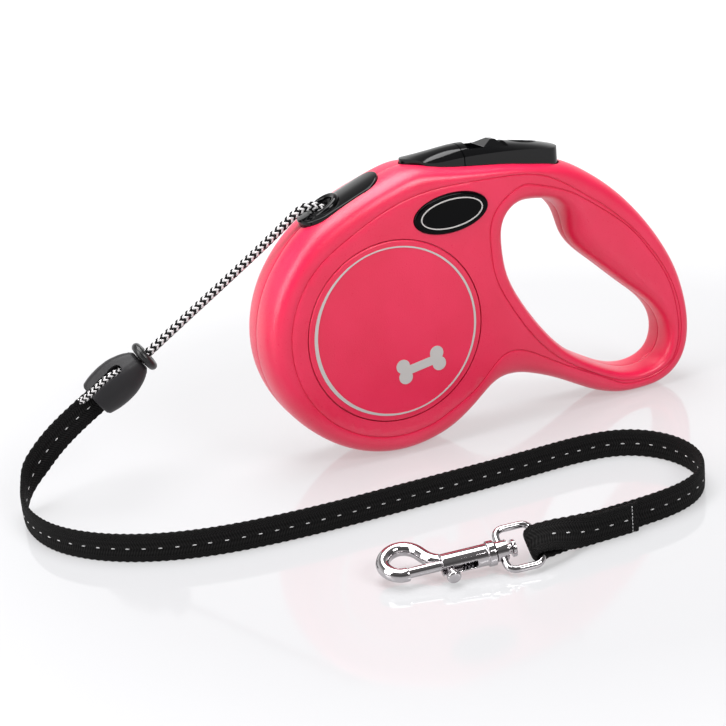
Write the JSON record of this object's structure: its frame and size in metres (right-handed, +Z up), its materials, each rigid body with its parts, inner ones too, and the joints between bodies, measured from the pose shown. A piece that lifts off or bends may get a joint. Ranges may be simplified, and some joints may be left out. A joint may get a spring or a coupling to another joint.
{
  "type": "retractable leash",
  "caption": "Hand-held retractable cord leash: round reel housing with finger-loop handle, brake button, cord, webbing strap and bolt snap.",
  "frame": {"origin": "bottom centre of the housing's bounding box, on the surface that it stands on", "axes": "+X from the reel drum to the handle, +Z up, -Y is the front face"},
  "size_m": [0.2398, 0.1308, 0.0983],
  "materials": {
    "housing": "fine matte texture, coral red",
    "black_gloss": "gloss",
    "black_matte": "matte",
    "silver_print": "satin print",
    "steel": "brushed",
    "chrome": "polished chrome",
    "reel_plastic": "natural moulded plastic",
    "cord": "braided black and white",
    "webbing": "woven, with white stitching",
    "rubber": "satin"
  },
  "bodies": {
    "housing": {"front_shell": "housing", "rear_shell": "housing", "front_disc": "housing", "rear_disc": "housing", "front_badge": "black_gloss", "rear_badge": "black_gloss", "front_trim": "silver_print", "rear_trim": "silver_print", "axle": "steel", "clock_spring": "steel", "brake_cover": "black_gloss", "pivot_pin": "steel", "brake_spring": "steel", "cord_guide": "black_gloss", "housing_screws": "steel", "leash_cord": "cord", "stop_ring": "rubber", "connector": "black_matte", "cord_loop": "cord", "webbing_strap": "webbing", "strap_end": "webbing", "swivel_eye": "chrome"},
    "reel": {"reel": "reel_plastic", "spring_cover": "reel_plastic", "wound_cord": "cord"},
    "button": {"brake_button": "black_gloss"},
    "slider": {"lock_slider": "black_gloss"},
    "hook": {"hook_body": "chrome", "bolt_spring": "steel"},
    "bolt": {"hook_bolt": "chrome"}
  },
  "joints": [
    {"name": "reel_spin", "type": "hinge", "parent": "housing", "child": "reel", "pos_m": [-0.0352, 0, 0.04345], "axis": [0, 1, 0], "continuous": true},
    {"name": "brake_press", "type": "hinge", "parent": "housing", "child": "button", "pos_m": [-0.002, 0, 0.0862], "axis": [0, 1, 0], "range_deg": [0, 8], "stiffness_Nm_per_rad": 0.6, "springref_deg": -4.58, "deforming": ["brake_spring"]},
    {"name": "lock_slide", "type": "slide", "parent": "button", "child": "slider", "axis": [-0.9888, 0, 0.1495], "range_m": [0, 0.0042]},
    {"name": "hook_swivel", "type": "hinge", "parent": "housing", "child": "hook", "pos_m": [-0.0475, -0.1008, 0.0052], "axis": [-0.9862, 0.1578, -0.0493], "continuous": true},
    {"name": "bolt_slide", "type": "slide", "parent": "hook", "child": "bolt", "axis": [0.9862, -0.1578, 0.0493], "range_m": [0, 0.006], "stiffness_N_per_m": 200, "springref_m": -0.01, "deforming": ["bolt_spring"]}
  ]
}
